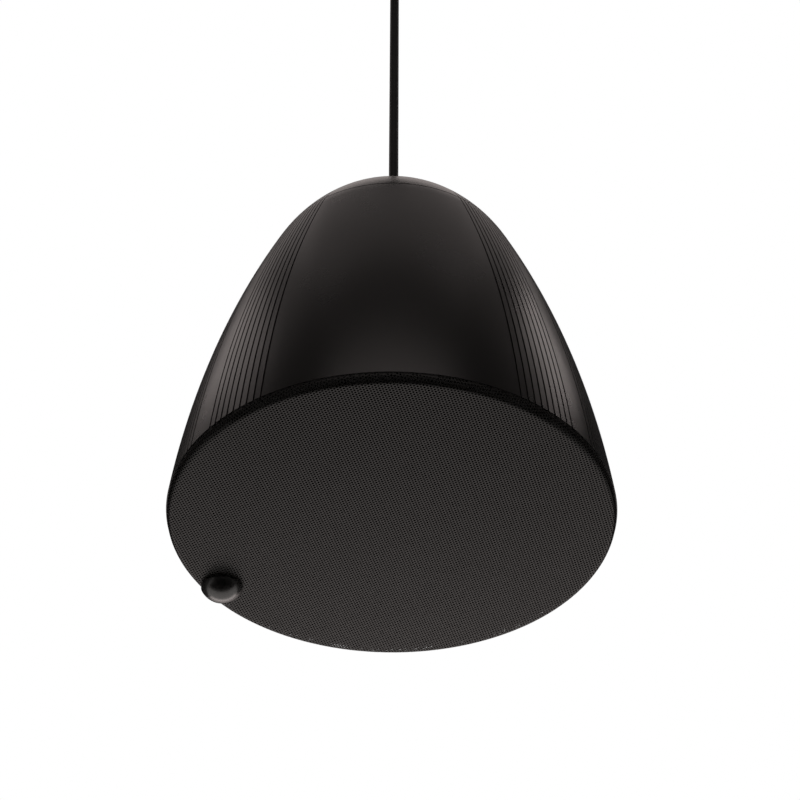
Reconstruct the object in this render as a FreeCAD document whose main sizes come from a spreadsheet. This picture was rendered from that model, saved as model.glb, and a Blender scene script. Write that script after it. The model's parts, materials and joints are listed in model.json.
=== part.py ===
import FreeCAD, Part
import os
import re
import Sketcher

# Pendant loudspeaker: a fluted bell enclosure that hangs on one taut cable from a ceiling plate.
# Heights count up from the outer face of the grille, and the origin is at the ceiling, above the axis.
# The near side, which faces the viewer, is -Y.

# Driving sizes, in millimetres and degrees
SIZES = {
    # how far a cutter runs past a face, or a boss into what it stands on
    "overrun": 1,
    # hanging
    "hang_height": 650,
    "cable_r": 3.75,
    "cable_clear": 0.15,
    "cable_end_gap": 0.5,
    # outline of the bell: rim, side arc, shoulder arc, then a crown centred on the axis
    "rim_z": 6.3,
    "rim_r": 150.75,
    "rim_lean": 5.5,
    "side_arc_r": 794,
    "side_top": 233.6,
    "shoulder_arc_r": 138,
    "shoulder_lean": 43.4,
    # walls of the two mouldings and the seam between them
    "bell_wall": 3,
    "cap_wall": 2.5,
    "seam_rise": 8.4,
    "seam_gap": 0.6,
    "seal_inset": 1,
    "lip_depth": 4.5,
    "lip_clear": 0.4,
    "lip_root": 5.5,
    # flutes
    "flute_depth": 0.9,
    "flute_angle": 0.55,
    "flute_pitch": 2.13,
    "flute_count": 9,
    "flute_start": 32.4,
    "flute_group_pitch": 25.7,
    "flute_group_count": 2,
    "flute_end_r": 46,
    "flute_cutter_reach": 5,
    # deck under the cap, with the posts of the hanger bracket
    "deck_drop": 1.6,
    "deck_thick": 3,
    "post_span": 50,
    "post_r": 6,
    "post_height": 36,
    "lead_hole_r": 5,
    "lead_hole_y": 30,
    "pilot_spare": 1,
    # hanger bracket and gland
    "bracket_thick": 3,
    "bracket_width": 25,
    "bracket_overhang": 8,
    "gland_r": 8,
    "thread_clear": 0.05,
    "bore_clear": 0.2,
    "collar_r": 14,
    "collar_rise": 1.5,
    "gland_flange_r": 12,
    "gland_flange_thick": 5,
    "gland_thread": 8,
    "gland_nut_thick": 10,
    "gland_dome": 6,
    "gland_mouth_r": 5.6,
    "gland_edge": 1,
    "gland_seal_rise": 1,
    "locknut_r": 11,
    "locknut_thick": 5,
    "gland_tail": 3,
    "stop_r": 6.5,
    "stop_length": 9,
    "tail_end": 3,
    # ceiling fitting
    "ceiling_plate_r": 36,
    "ceiling_plate_thick": 4,
    "ceiling_boss_r": 12,
    "ceiling_boss_drop": 20,
    "ceiling_boss_draft": 1,
    "ceiling_boss_foot": 4,
    "ceiling_boss_foot_rise": 3,
    "ceiling_plate_edge": 1,
    "ceiling_screw_span": 25,
    "ceiling_screw_r": 2.25,
    "grip_depth": 13,
    "grip_length": 30,
    "grip_nose_r": 5.2,
    "grip_r": 10,
    "grip_taper_r": 9,
    "grip_taper_length": 18,
    "grip_collar": 6,
    # grille and badge
    "grille_r": 150,
    "grille_fold_r": 4,
    "grille_thick": 1,
    "grille_gap": 0.3,
    "liner_r": 120,
    "liner_thick": 2,
    "magnet_disc_r": 5,
    "magnet_disc_thick": 3,
    "magnet_circle_r": 134,
    "magnet_post_r": 7,
    "magnet_turn": 45,
    "badge_x": -118,
    "badge_y": 65,
    "badge_r": 14.5,
    "badge_edge": 2,
    "badge_rise": 9,
    "badge_pin_r": 1.5,
    "badge_pin_clear": 0.2,
    "clip_r": 4,
    "clip_thick": 0.8,
    "clip_spare": 1,
    # baffle
    "baffle_low": 16,
    "baffle_thick": 4,
    "baffle_clear": 0.8,
    "gasket_thick": 1.5,
    "ledge_thick": 3,
    "ledge_width": 9,
    "baffle_screw_inset": 5,
    "baffle_screw_length": 16,
    "boss_r": 4.2,
    "boss_height": 14,
    "boss_roof": 1,
    "screw_r": 1.9,
    "screw_head_r": 3.6,
    "screw_head_thick": 2.4,
    "screw_length": 12,
    # reflex port
    "port_y": 107.5,
    "port_r": 18,
    "port_wall": 2.5,
    "port_length": 70,
    "port_flare": 5,
    "port_flange_lip": 1,
    "port_flange_thick": 1.5,
    "port_end_lip": 2,
    "port_end_edge": 1,
    "port_end_flare": 3,
    # woofer
    "driver_r": 82.5,
    "driver_flange_thick": 3,
    "driver_gasket_thick": 1,
    "driver_cut_clear": 0.5,
    "driver_screw_turn": 45,
    "basket_mouth_r": 71.6,
    "basket_wall": 1.6,
    "spider_seat_r": 53,
    "spider_seat_depth": 34,
    "basket_neck_r": 43,
    "basket_depth": 48,
    "basket_rim": 2,
    "basket_rim_inside": 1.5,
    "basket_slant_wall": 0.4,
    "basket_foot": 9,
    "basket_window": 32,
    "window_inset": 6,
    "window_low": 5,
    "window_drop": 4,
    "top_plate_thick": 6,
    "top_plate_r": 42,
    "ferrite_r": 45,
    "ferrite_bore_r": 24,
    "ferrite_thick": 16,
    "back_plate_thick": 6,
    "pole_r": 15.1,
    "coil_gap": 0.4,
    "former_thick": 0.3,
    "winding_thick": 0.8,
    "winding_length": 12,
    "winding_gap": 0.5,
    "former_tail": 3,
    "cone_neck": 1,
    "cone_edge_r": 62.4,
    "cone_thick": 0.9,
    "glue_gap": 0.05,
    "land_width": 2.4,
    "surround_thick": 0.8,
    "surround_roll_r": 4.3,
    "surround_span": 8.4,
    "surround_clear": 0.5,
    "spider_thick": 0.6,
    "spider_wave": 1.1,
    "spider_waves": 5,
    "spider_clear": 0.6,
    "spider_inner_flat": 3,
    "spider_outer_flat": 4,
    # tweeter on the pole
    "stem_r": 4,
    "stem_nut_r": 8,
    "stem_nut_thick": 4,
    "stem_end": 2,
    "tweeter_r": 17,
    "tweeter_edge": 3,
    "tweeter_wall": 2,
    "tweeter_low": 19,
    "tweeter_depth": 14,
    "tweeter_magnet_r": 11,
    "tweeter_magnet_thick": 6,
    "tweeter_dome_r": 9.5,
    "tweeter_dome_rise": 3,
    "tweeter_film": 0.5,
    "tweeter_ring_thick": 2,
    "tweeter_ring_edge": 1,
    "tweeter_mouth": 2,
    "tweeter_flare": 1.5,
    # tap selector
    "tap_x": 110,
    "tap_body": 20,
    "tap_body_height": 14,
    "tap_bush_r": 4.5,
    "tap_bush_drop": 3,
    "tap_nut_r": 7,
    "tap_nut_thick": 2,
    "tap_shaft_r": 3,
    "tap_shaft_clear": 0.05,
    "tap_knob_r": 9,
    "tap_knob_gap": 0.5,
    "tap_knob_height": 8,
    "tap_knob_edge": 1,
    "tap_pointer": 2,
    "tap_pointer_depth": 1,
    # crossover
    "board_x": -112,
    "board_length": 44,
    "board_width": 50,
    "board_thick": 1.6,
    "standoff_r": 3,
    "standoff_height": 6,
    "board_hole_inset": 4,
    "board_screw_length": 10,
    "board_edge": 1,
    "coil_r": 12,
    "coil_core_r": 4,
    "coil_height": 14,
    "coil_flange": 1.5,
    "coil_waist": 2,
    "coil_shift": 4,
    "capacitor_r": 5.5,
    "capacitor_length": 20,
    "capacitor_shift": 2,
    "resistor_size": 8,
    "resistor_length": 22,
    # line transformer
    "core_y": -108,
    "core_width": 54,
    "core_depth": 20,
    "core_height": 46,
    "core_lift": 2,
    "core_pad_inset": 2,
    "core_leg": 18,
    "core_window": 9,
    "core_window_height": 28,
    "coil_depth": 34,
    "winding_fit": 0.3,
    "strap_thick": 1.5,
    "strap_foot": 10,
    "strap_inset": 2,
    # terminals on the deck
    "header_y": -44,
    "header_length": 30,
    "header_depth": 14,
    "header_height": 13,
    "header_wall": 1.7,
    "plug_reach": 8,
    "plug_fit": 0.2,
    "plug_ways": 4,
    "plug_way_pitch": 5,
    "plug_wire_r": 1.3,
    "plug_screw_r": 1.6,
    "plug_screw_depth": 2,
    "plug_screw_sink": 0.4,
    "conductor_r": 1.2,
    "conductor_bend": 4,
    "conductor_spare": 2,
    # lining
    "lining_low": 110,
    "lining_thick": 12,
    "lining_clear": 0.9,
}

# Sizes that follow from the driving ones
DERIVED = {
    "seam_z": "side_top + seam_rise",
    "cap_z": "seam_z + seam_gap",
    "side_axis_r": "rim_r - side_arc_r * cos(rim_lean)",
    "side_axis_z": "rim_z - side_arc_r * sin(rim_lean)",
    "side_sin": "(side_top - side_axis_z) / side_arc_r",
    "side_cos": "sqrt(1 - side_sin ^ 2)",
    "shoulder_axis_r": "side_axis_r + (side_arc_r - shoulder_arc_r) * side_cos",
    "shoulder_axis_z": "side_top - shoulder_arc_r * side_sin",
    "shoulder_top_r": "shoulder_axis_r + shoulder_arc_r * cos(shoulder_lean)",
    "shoulder_top": "shoulder_axis_z + shoulder_arc_r * sin(shoulder_lean)",
    "crown_arc_r": "(shoulder_axis_r + shoulder_arc_r * cos(shoulder_lean)) / cos(shoulder_lean)",
    "crown_axis_z": "shoulder_axis_z + (shoulder_arc_r - crown_arc_r) * sin(shoulder_lean)",
    "crown_z": "crown_axis_z + crown_arc_r",
    "collar_z": "crown_axis_z + sqrt(crown_arc_r ^ 2 - collar_r ^ 2) + collar_rise",
    "deck_low": "side_top - deck_drop",
    "deck_z": "deck_low + deck_thick",
    "bracket_low": "deck_z + post_height",
    "bracket_z": "bracket_low + bracket_thick",
    "gland_low": "bracket_low - locknut_thick - gland_tail",
    "gland_bore_r": "cable_r + cable_clear",
    "gland_flange_z": "collar_z + gland_flange_thick",
    "gland_top": "gland_flange_z + gland_thread",
    "nut_z": "gland_flange_z + gland_nut_thick",
    "gland_mouth_z": "nut_z + gland_dome",
    "tail_low": "gland_low - stop_length - tail_end",
    "cable_low": "gland_flange_z",
    "ceiling_plate_z": "hang_height - ceiling_plate_thick",
    "ceiling_boss_z": "ceiling_plate_z - ceiling_boss_drop",
    "grip_z": "ceiling_boss_z - grip_length",
    "grille_top": "rim_z - grille_gap",
    "fold_axis_r": "grille_r - grille_fold_r",
    "liner_top": "grille_thick + liner_thick",
    "magnet_post_low": "grille_thick + grille_gap",
    "baffle_top": "baffle_low + baffle_thick",
    "ledge_low": "baffle_top + gasket_thick",
    "ledge_z": "ledge_low + ledge_thick",
    "driver_flange_top": "baffle_low - driver_gasket_thick",
    "driver_low": "driver_flange_top - driver_flange_thick",
    "inside_arc_r": "side_arc_r - bell_wall",
    "baffle_r": "side_axis_r + sqrt(inside_arc_r ^ 2 - (baffle_top - side_axis_z) ^ 2) - baffle_clear",
    "baffle_screw_r": "baffle_r - baffle_screw_inset",
    "ledge_in_r": "side_axis_r + sqrt(inside_arc_r ^ 2 - (ledge_z - side_axis_z) ^ 2) - ledge_width",
    "driver_cut_r": "basket_mouth_r + driver_cut_clear",
    "driver_screw_r": "(driver_r + driver_cut_r) / 2",
    "surround_edge_r": "driver_screw_r - screw_head_r - surround_clear",
    "spider_seat_z": "driver_low + spider_seat_depth",
    "basket_z": "driver_low + basket_depth",
    "top_plate_top": "basket_z + top_plate_thick",
    "ferrite_top": "top_plate_top + ferrite_thick",
    "yoke_top": "ferrite_top + back_plate_thick",
    "former_r": "pole_r + coil_gap",
    "former_out_r": "former_r + former_thick",
    "winding_r": "former_out_r + winding_thick",
    "top_plate_bore_r": "winding_r + winding_gap",
    "winding_low": "basket_z + (top_plate_thick - winding_length) / 2",
    "former_low": "spider_seat_z - former_tail",
    "cone_edge_z": "driver_low",
    "surround_low": "cone_edge_z - surround_thick",
    "tweeter_top": "tweeter_low + tweeter_depth",
    "tap_bush_low": "baffle_low - tap_bush_drop",
    "tap_knob_top": "tap_bush_low - tap_knob_gap",
    "board_low": "baffle_top + standoff_height",
    "board_top": "board_low + board_thick",
    "core_low": "baffle_top + core_lift",
    "core_top": "core_low + core_height",
    "strap_screw_x": "core_width / 2 + plug_fit + strap_thick + strap_foot / 2",
    "header_top": "deck_z + header_height",
    "plug_low": "deck_z + header_wall + plug_fit",
    "plug_top": "header_top - header_wall - plug_fit",
    "plug_y": "header_y + header_depth + plug_reach",
    "plug_middle": "(plug_low + plug_top) / 2",
}

# Straight facets on each arc of the bell
SIDE_STEPS = 6
INSIDE_STEPS = 4
LINING_STEPS = 3
SHOULDER_STEPS = 2
CROWN_STEPS = 3

# Counts of repeated features
GRILLE_MAGNETS = 4
BAFFLE_SCREWS = 6
DRIVER_SCREWS = 4
BASKET_WINDOWS = 6
SIDES_OF_NUT = 6

FULL_TURN = 360
QUARTER_TURN = 90
COUNTER_CLOCKWISE = 1
CLOCKWISE = -1
WORD = re.compile(r"[a-z_]+")

doc = FreeCAD.newDocument("PendantSpeaker")
sheet = doc.addObject("Spreadsheet::Sheet", "Sizes")
pieces = {}
names_used = {}


def fill_sheet():
    """Write one row per driving size: its name, then its value under an alias."""
    for row, (name, size) in enumerate(SIZES.items(), start=1):
        sheet.set(f"A{row}", name)
        sheet.set(f"B{row}", str(size))
        sheet.setAlias(f"B{row}", name)
    doc.recompute()


def ref(text):
    """Turn the names in an expression into references to the sheet's cells."""
    def swap(match):
        word = match.group(0)
        if word in DERIVED:
            return "(" + ref(DERIVED[word]) + ")"
        if word in SIZES:
            return "Sizes." + word
        return word
    return WORD.sub(swap, str(text))


def value(text):
    """The number that an expression gives now."""
    return float(sheet.evalExpression(ref(text)))


def bind(thing, prop, text):
    thing.setExpression(prop, ref(text))


def unique(name):
    names_used[name] = names_used.get(name, 0) + 1
    return name if names_used[name] == 1 else f"{name}_{names_used[name]}"


def piece(name, thing):
    """Name a finished sub-part and hang it below the ceiling."""
    thing.Label = name
    bind(thing, "Placement.Base.z", "-hang_height")
    pieces[name] = thing
    return thing


def new_body(name):
    return doc.addObject("PartDesign::Body", unique("body_" + name))


def origin_feature(body, role):
    return next(feature for feature in body.Origin.OriginFeatures if feature.Role == role)


def new_sketch(body, plane):
    sketch = body.newObject("Sketcher::SketchObject", unique("sketch"))
    sketch.AttachmentSupport = [(origin_feature(body, plane), "")]
    sketch.MapMode = "FlatFace"
    return sketch


def arc_between(start, end, radius, turn):
    """The shorter arc of that radius between two points."""
    chord = end - start
    height = max(radius ** 2 - (chord.Length / 2) ** 2, 0) ** 0.5
    left = FreeCAD.Vector(-chord.y, chord.x, 0).normalize()
    centre = (start + end) / 2 + left * height * turn
    circle = Part.Circle(centre, FreeCAD.Vector(0, 0, 1), radius)
    ends = (start, end) if turn == COUNTER_CLOCKWISE else (end, start)
    return Part.ArcOfCircle(circle, circle.parameter(ends[0]), circle.parameter(ends[1]))


def outline(sketch, corners):
    """Draw a closed outline. A corner is (x, y), or (x, y, radius, turn) where an arc leaves it."""
    points = [FreeCAD.Vector(value(corner[0]), value(corner[1]), 0) for corner in corners]
    count = len(corners)
    for index, corner in enumerate(corners):
        start = points[index]
        end = points[(index + 1) % count]
        if len(corner) == 4:
            edge = arc_between(start, end, value(corner[2]), corner[3])
        else:
            edge = Part.LineSegment(start, end)
        sketch.addGeometry(edge, False)

    def end_of(index, first):
        turned_back = len(corners[index]) == 4 and corners[index][3] == CLOCKWISE
        return 1 if first != turned_back else 2

    for index, corner in enumerate(corners):
        following = (index + 1) % count
        sketch.addConstraint(Sketcher.Constraint(
            "Coincident", index, end_of(index, False), following, end_of(following, True)))
        for axis, text, size in (("X", corner[0], points[index].x), ("Y", corner[1], points[index].y)):
            number = sketch.addConstraint(Sketcher.Constraint(
                "Distance" + axis, -1, 1, index, end_of(index, True), size))
            sketch.renameConstraint(number, f"{axis.lower()}{index}")
            bind(sketch, f"Constraints.{axis.lower()}{index}", text)
        if len(corner) == 4:
            number = sketch.addConstraint(Sketcher.Constraint("Radius", index, value(corner[2])))
            sketch.renameConstraint(number, f"radius{index}")
            bind(sketch, f"Constraints.radius{index}", corner[2])


def turned(name, corners, x="0", y="0"):
    """A solid of revolution: the outline is (radius, height), turned about a vertical axis at x, y."""
    body = new_body(name)
    sketch = new_sketch(body, "XZ_Plane")
    outline(sketch, corners)
    revolution = body.newObject("PartDesign::Revolution", unique("revolution"))
    revolution.Profile = sketch
    revolution.ReferenceAxis = (sketch, ["V_Axis"])
    revolution.Angle = FULL_TURN
    bind(body, "Placement.Base.x", x)
    bind(body, "Placement.Base.y", y)
    return body


def ring(name, inner, outer, low, high, x="0", y="0"):
    return turned(name, [(inner, low), (outer, low), (outer, high), (inner, high)], x, y)


def disc(name, radius, low, high, x="0", y="0"):
    return ring(name, "0", radius, low, high, x, y)


def block(name, x_span, y_span, z_span):
    """A box between two expressions on each axis."""
    box = doc.addObject("Part::Box", unique(name))
    for prop, axis, span in (("Length", "x", x_span), ("Width", "y", y_span), ("Height", "z", z_span)):
        bind(box, prop, f"({span[1]}) - ({span[0]})")
        bind(box, "Placement.Base." + axis, span[0])
    return box


def rod(name, radius, low, high, x="0", y="0"):
    """A plain upright cylinder, used as a boss or as a drill."""
    cylinder = doc.addObject("Part::Cylinder", unique(name))
    bind(cylinder, "Radius", radius)
    bind(cylinder, "Height", f"({high}) - ({low})")
    for axis, text in (("x", x), ("y", y), ("z", low)):
        bind(cylinder, "Placement.Base." + axis, text)
    return cylinder


def prism(name, across, low, high):
    """A six-sided nut blank, its corners at the given radius."""
    nut = doc.addObject("Part::Prism", unique(name))
    nut.Polygon = SIDES_OF_NUT
    bind(nut, "Circumradius", across)
    bind(nut, "Height", f"({high}) - ({low})")
    bind(nut, "Placement.Base.z", low)
    return nut


def joined(name, things):
    fuse = doc.addObject("Part::MultiFuse", unique(name))
    fuse.Shapes = things
    return fuse


def cut_from(name, base, tools):
    cut = doc.addObject("Part::Cut", unique(name))
    cut.Base = base
    cut.Tool = tools[0] if len(tools) == 1 else joined(name + "_tools", tools)
    return cut


def group(name, things):
    """Several separate solids that share one node."""
    compound = doc.addObject("Part::Compound", unique(name))
    compound.Links = things
    return compound


def around(count, start, radius):
    """Evenly spaced places on a circle, as (x, y)."""
    for index in range(count):
        angle = f"{start} + {index * FULL_TURN / count}"
        yield f"({radius}) * cos({angle})", f"({radius}) * sin({angle})"


def through(low, high):
    """The span of a cutter that goes right through, between two heights or sides."""
    return f"({low}) - overrun", f"({high}) + overrun"


def side_r(z, inset="0"):
    return f"side_axis_r + sqrt((side_arc_r - ({inset})) ^ 2 - (({z}) - side_axis_z) ^ 2)"


def shoulder_r(z, inset="0"):
    return f"shoulder_axis_r + sqrt((shoulder_arc_r - ({inset})) ^ 2 - (({z}) - shoulder_axis_z) ^ 2)"


def crown_height(r, inset="0"):
    return f"crown_axis_z + sqrt((crown_arc_r - ({inset})) ^ 2 - ({r}) ^ 2)"


def along_arc(radius_at, low, high, steps, inset="0"):
    """Corners on an arc of the bell between two heights, close enough together to look round."""
    heights = [f"({low}) + (({high}) - ({low})) * {step} / {steps}" for step in range(steps + 1)]
    return [(radius_at(height, inset), height) for height in heights]


def along_crown(inner_r, outer_r, steps, inset="0"):
    """Corners on the crown from an outer radius in to an inner one."""
    radii = [f"({outer_r}) + (({inner_r}) - ({outer_r})) * {step} / {steps}" for step in range(steps + 1)]
    return [(radius, crown_height(radius, inset)) for radius in radii]


def flutes(body, name, corners):
    """Cut the groups of narrow upright grooves, alike on the left and right and on the front and back."""
    sketch = new_sketch(body, "XZ_Plane")
    turn = FreeCAD.Rotation(FreeCAD.Vector(0, 1, 0), 0)
    sketch.AttachmentOffset = FreeCAD.Placement(FreeCAD.Vector(), turn)
    bind(sketch, "AttachmentOffset.Rotation.Angle", "flute_start - 90")
    outline(sketch, corners)
    groove = body.newObject("PartDesign::Groove", unique("groove"))
    groove.Profile = sketch
    groove.ReferenceAxis = (sketch, ["V_Axis"])
    groove.Midplane = True
    bind(groove, "Angle", "flute_angle")
    doc.recompute()

    in_group = doc.addObject("PartDesign::PolarPattern", unique(name + "_flutes"))
    in_group.Axis = (sketch, ["V_Axis"])
    bind(in_group, "Occurrences", "flute_count")
    bind(in_group, "Angle", "flute_pitch * (flute_count - 1)")
    groups = doc.addObject("PartDesign::PolarPattern", unique(name + "_flute_groups"))
    groups.Axis = (sketch, ["V_Axis"])
    bind(groups, "Occurrences", "flute_group_count")
    bind(groups, "Angle", "flute_group_pitch * (flute_group_count - 1)")
    mirrors = []
    for plane in ("YZ_Plane", "XZ_Plane"):
        mirror = doc.addObject("PartDesign::Mirrored", unique(name + "_flute_mirror"))
        mirror.MirrorPlane = (origin_feature(body, plane), [""])
        mirrors.append(mirror)
    pattern = body.newObject("PartDesign::MultiTransform", unique(name + "_flute_pattern"))
    pattern.Originals = [groove]
    pattern.Transformations = [in_group, groups, *mirrors]
    body.Tip = pattern


def circle_sketch(body, z, radius, x, y):
    sketch = new_sketch(body, "XY_Plane")
    bind(sketch, "AttachmentOffset.Base.z", z)
    centre = FreeCAD.Vector(value(x), value(y), 0)
    sketch.addGeometry(Part.Circle(centre, FreeCAD.Vector(0, 0, 1), value(radius)), False)
    for kind, text, size in (("DistanceX", x, centre.x), ("DistanceY", y, centre.y)):
        number = sketch.addConstraint(Sketcher.Constraint(kind, -1, 1, 0, 3, size))
        sketch.renameConstraint(number, kind.lower())
        bind(sketch, f"Constraints.{kind.lower()}", text)
    number = sketch.addConstraint(Sketcher.Constraint("Radius", 0, value(radius)))
    sketch.renameConstraint(number, "radius")
    bind(sketch, "Constraints.radius", radius)
    return sketch


def polar(body, feature, count):
    pattern = body.newObject("PartDesign::PolarPattern", unique("pattern"))
    pattern.Originals = [feature]
    pattern.Axis = (origin_feature(body, "Z_Axis"), [""])
    pattern.Angle = FULL_TURN
    pattern.Occurrences = count
    body.Tip = pattern
    return pattern


def post(body, x, y, radius, low, height, count):
    """Raise round bosses from a height, evenly spaced about the axis."""
    pad = body.newObject("PartDesign::Pad", unique("boss"))
    pad.Profile = circle_sketch(body, low, radius, x, y)
    bind(pad, "Length", height)
    return polar(body, pad, count)


def drill(body, x, y, radius, top, depth, count):
    """Sink round holes down from a height, evenly spaced about the axis."""
    pocket = body.newObject("PartDesign::Pocket", unique("hole"))
    pocket.Profile = circle_sketch(body, top, radius, x, y)
    bind(pocket, "Length", depth)
    return polar(body, pocket, count)


def make_enclosure():
    """The fluted bell: one moulding with a deck near its top and a ledge that carries the baffle."""
    body = new_body("enclosure")
    sketch = new_sketch(body, "XZ_Plane")
    outline(sketch, [
        *along_arc(side_r, "rim_z", "side_top", SIDE_STEPS),
        (shoulder_r("seam_z"), "seam_z"),
        (shoulder_r("seam_z", "bell_wall"), "seam_z"),
        (shoulder_r("deck_z", "bell_wall"), "deck_z"),
        ("0", "deck_z"),
        ("0", "deck_low"),
        *along_arc(side_r, "deck_low", "ledge_z", INSIDE_STEPS, "bell_wall"),
        ("ledge_in_r", "ledge_z"),
        ("ledge_in_r", "ledge_low"),
        (side_r("ledge_low", "bell_wall"), "ledge_low"),
        (side_r("rim_z", "bell_wall"), "rim_z"),
    ])
    shell = body.newObject("PartDesign::Revolution", unique("revolution"))
    shell.Profile = sketch
    shell.ReferenceAxis = (sketch, ["V_Axis"])
    shell.Angle = FULL_TURN
    doc.recompute()
    pilot = "screw_r + thread_clear"
    post(body, "baffle_screw_r", "0", "boss_r", "ledge_low", "boss_height", BAFFLE_SCREWS)
    boss_top = "ledge_low + boss_height"
    drill(body, "baffle_screw_r", "0", pilot, boss_top + " - boss_roof", "boss_height", BAFFLE_SCREWS)
    post(body, "post_span", "0", "post_r", "deck_low", "post_height + deck_thick", 2)
    drill(body, "post_span", "0", pilot, "bracket_low", "screw_length + pilot_spare", 2)
    drill(body, "0", "lead_hole_y", "lead_hole_r", "deck_z + overrun", "deck_thick + 2 * overrun", 1)
    depth = "flute_depth"
    outside = "rim_r + flute_cutter_reach"
    below, above = through("rim_z", "seam_z")
    flutes(body, "enclosure", [
        (side_r(below, depth), below),
        *along_arc(side_r, "rim_z", "side_top", SIDE_STEPS, depth)[1:],
        (shoulder_r(above, depth), above),
        (outside, above),
        (outside, below),
    ])
    piece("enclosure", body)


def make_cap():
    """The domed cap over the terminals, with the flutes running on to near its collar."""
    bore = "gland_r + bore_clear"
    lip_z = "cap_z + lip_root"
    lip_low = "seam_z - lip_depth"
    lip_in = shoulder_r(lip_z, "cap_wall")
    lip_out = shoulder_r("seam_z", "bell_wall") + " - lip_clear"
    body = new_body("top_cap")
    sketch = new_sketch(body, "XZ_Plane")
    outline(sketch, [
        *along_arc(shoulder_r, "cap_z", "shoulder_top", SHOULDER_STEPS),
        *along_crown("collar_r", "shoulder_top_r", CROWN_STEPS)[1:],
        ("collar_r", "collar_z"),
        (bore, "collar_z"),
        *reversed(along_crown(bore, "shoulder_top_r - cap_wall", CROWN_STEPS, "cap_wall")),
        (lip_in, lip_z),
        (lip_in, lip_low),
        (lip_out, lip_low),
        (lip_out, "cap_z"),
    ])
    shell = body.newObject("PartDesign::Revolution", unique("revolution"))
    shell.Profile = sketch
    shell.ReferenceAxis = (sketch, ["V_Axis"])
    shell.Angle = FULL_TURN
    doc.recompute()
    depth = "flute_depth"
    low = "cap_z - overrun"
    above = "crown_z + flute_cutter_reach"
    outside = "rim_r + flute_cutter_reach"
    flutes(body, "cap", [
        (shoulder_r(low, depth), low),
        *along_arc(shoulder_r, "cap_z", "shoulder_top", SHOULDER_STEPS, depth)[1:],
        ("flute_end_r", crown_height("flute_end_r", depth)),
        ("flute_end_r", above),
        (outside, above),
        (outside, low),
    ])
    piece("top_cap", body)
    piece("cap_seal", ring("cap_seal", shoulder_r("seam_z", "bell_wall"),
                           shoulder_r("seam_z", "seal_inset") + " - seal_inset", "seam_z", "cap_z"))


def screw(name, x, y, seat, length="screw_length", head_down=False):
    """A pan-head screw. Its head lies on the seat, above it, or below it if the head is down."""
    side = "-1" if head_down else "1"
    shank_end = f"({seat}) - ({side}) * ({length})"
    head_end = f"({seat}) + ({side}) * screw_head_thick"
    corners = [("0", shank_end), ("screw_r", shank_end), ("screw_r", seat),
               ("screw_head_r", seat), ("screw_head_r", head_end), ("0", head_end)]
    return turned(name, corners, x, y)


def screw_ring(name, count, start, radius, seat, length):
    """Screws on a circle, with their heads down."""
    places = around(count, start, radius)
    screws = [screw(name, x, y, seat, length, head_down=True) for x, y in places]
    piece(name, group(name, screws))


def make_suspension():
    """Bracket over the deck, gland through the cap, and the end of the cable held under it."""
    reach = "post_span + bracket_overhang"
    half = "bracket_width / 2"
    strap = block("strap", (f"-({reach})", reach), (f"-{half}", half), ("bracket_low", "bracket_z"))
    holes = [rod("bracket_hole", "gland_r + bore_clear", *through("bracket_low", "bracket_z"))]
    holes += [rod("bracket_hole", "screw_r + bore_clear", *through("bracket_low", "bracket_z"), x)
              for x in ("post_span", "-post_span")]
    piece("hanger_bracket", cut_from("hanger_bracket", strap, holes))
    screws = [screw("bracket_screw", x, "0", "bracket_z") for x in ("post_span", "-post_span")]
    piece("bracket_screws", group("bracket_screws", screws))

    piece("gland_body", turned("gland_body", [
        ("gland_bore_r", "gland_low"), ("gland_r", "gland_low"), ("gland_r", "collar_z"),
        ("gland_flange_r", "collar_z"), ("gland_flange_r", "gland_flange_z"),
        ("gland_r", "gland_flange_z"), ("gland_r", "gland_top"), ("gland_bore_r", "gland_top")]))
    thread = "gland_r + thread_clear"
    locknut_low = "bracket_low - locknut_thick"
    locknut = prism("locknut", "locknut_r", locknut_low, "bracket_low")
    locknut_bore = rod("locknut_bore", thread, *through(locknut_low, "bracket_low"))
    piece("gland_locknut", cut_from("gland_locknut", locknut, [locknut_bore]))
    hexagon = prism("gland_hexagon", "gland_flange_r", "gland_flange_z", "nut_z")
    flat = "gland_flange_r * cos(30)"
    dome = turned("gland_dome", [
        ("gland_mouth_r", "nut_z"), (flat, "nut_z"),
        (f"{flat} - gland_edge", "nut_z + gland_dome / 2"), ("gland_mouth_r + gland_edge", "gland_mouth_z"),
        ("gland_mouth_r", "gland_mouth_z")])
    nut_bore = rod("nut_bore", thread, "gland_flange_z - overrun", "gland_top + cable_clear")
    mouth_bore = rod("mouth_bore", "gland_mouth_r", "gland_flange_z", "gland_mouth_z + overrun")
    blank = joined("gland_nut_blank", [hexagon, dome])
    piece("gland_nut", cut_from("gland_nut", blank, [nut_bore, mouth_bore]))
    piece("gland_seal", ring("gland_seal", "gland_bore_r", "gland_mouth_r - thread_clear",
                             "gland_top", "gland_mouth_z + gland_seal_rise"))

    piece("cable_stop", ring("cable_stop", "cable_r + thread_clear", "stop_r",
                             "gland_low - stop_length", "gland_low"))
    piece("cable_tail", disc("cable_tail", "cable_r", "tail_low", "cable_low"))
    piece("cable", disc("cable", "cable_r", "cable_low", "hang_height - cable_end_gap"))


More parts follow.
